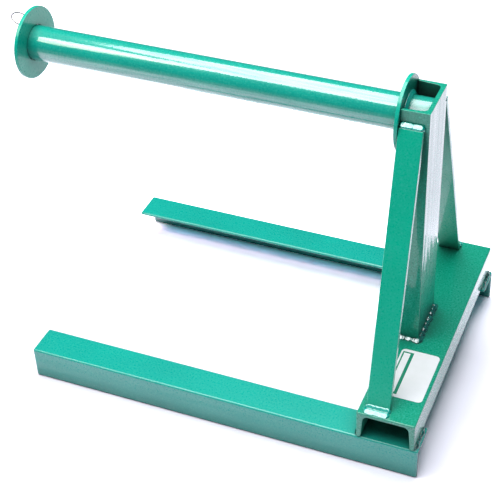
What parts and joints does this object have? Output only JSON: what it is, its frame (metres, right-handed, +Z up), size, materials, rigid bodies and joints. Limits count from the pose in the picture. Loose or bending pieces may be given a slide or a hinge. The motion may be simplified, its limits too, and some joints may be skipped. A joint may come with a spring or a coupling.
{
  "type": "cable drum jack",
  "caption": "Welded steel cable drum jack: braced post on a channel base with angle legs, carrying a cantilevered tube spindle with a fixed disc and a loose pinned end disc.",
  "frame": {"origin": "centre of the whole part's outline on the floor", "axes": "+X from the spindle's free end towards the post, +Y along the base channel away from the picture's camera, +Z up"},
  "size_m": [0.6519, 0.394, 0.487],
  "materials": {
    "enamel": "gloss green enamel",
    "weld": "gloss green enamel over weld beads",
    "zinc": "bright zinc plate",
    "wire": "bright spring wire",
    "label": "gloss label film"
  },
  "bodies": {
    "stand": {"base_channel": "enamel", "front_leg": "enamel", "rear_leg": "enamel", "post": "enamel", "front_brace": "enamel", "rear_brace": "enamel", "spindle_tube": "enamel", "inner_disc": "enamel", "label": "label", "weld_front_leg_left": "weld", "weld_front_leg_right": "weld", "weld_rear_leg_left": "weld", "weld_rear_leg_right": "weld", "weld_post_base": "weld", "weld_front_brace_top": "weld", "weld_rear_brace_top": "weld", "weld_front_brace_foot": "weld", "weld_rear_brace_foot": "weld", "weld_spindle_inside": "weld"},
    "end_disc": {"outer_disc": "enamel"},
    "pin": {"retaining_pin": "zinc"},
    "ring": {"pull_ring": "wire"}
  },
  "joints": [
    {"name": "disc_slide", "type": "slide", "parent": "stand", "child": "end_disc", "axis": [1, 0, 0], "range_m": [0, 0.525]},
    {"name": "pin_lift", "type": "slide", "parent": "stand", "child": "pin", "axis": [0, 0, 1], "range_m": [0, 0.06]},
    {"name": "ring_swing", "type": "hinge", "parent": "pin", "child": "ring", "pos_m": [-0.30485, 0, 0.46445], "axis": [0, 1, 0], "range_deg": [-54, 72]}
  ]
}
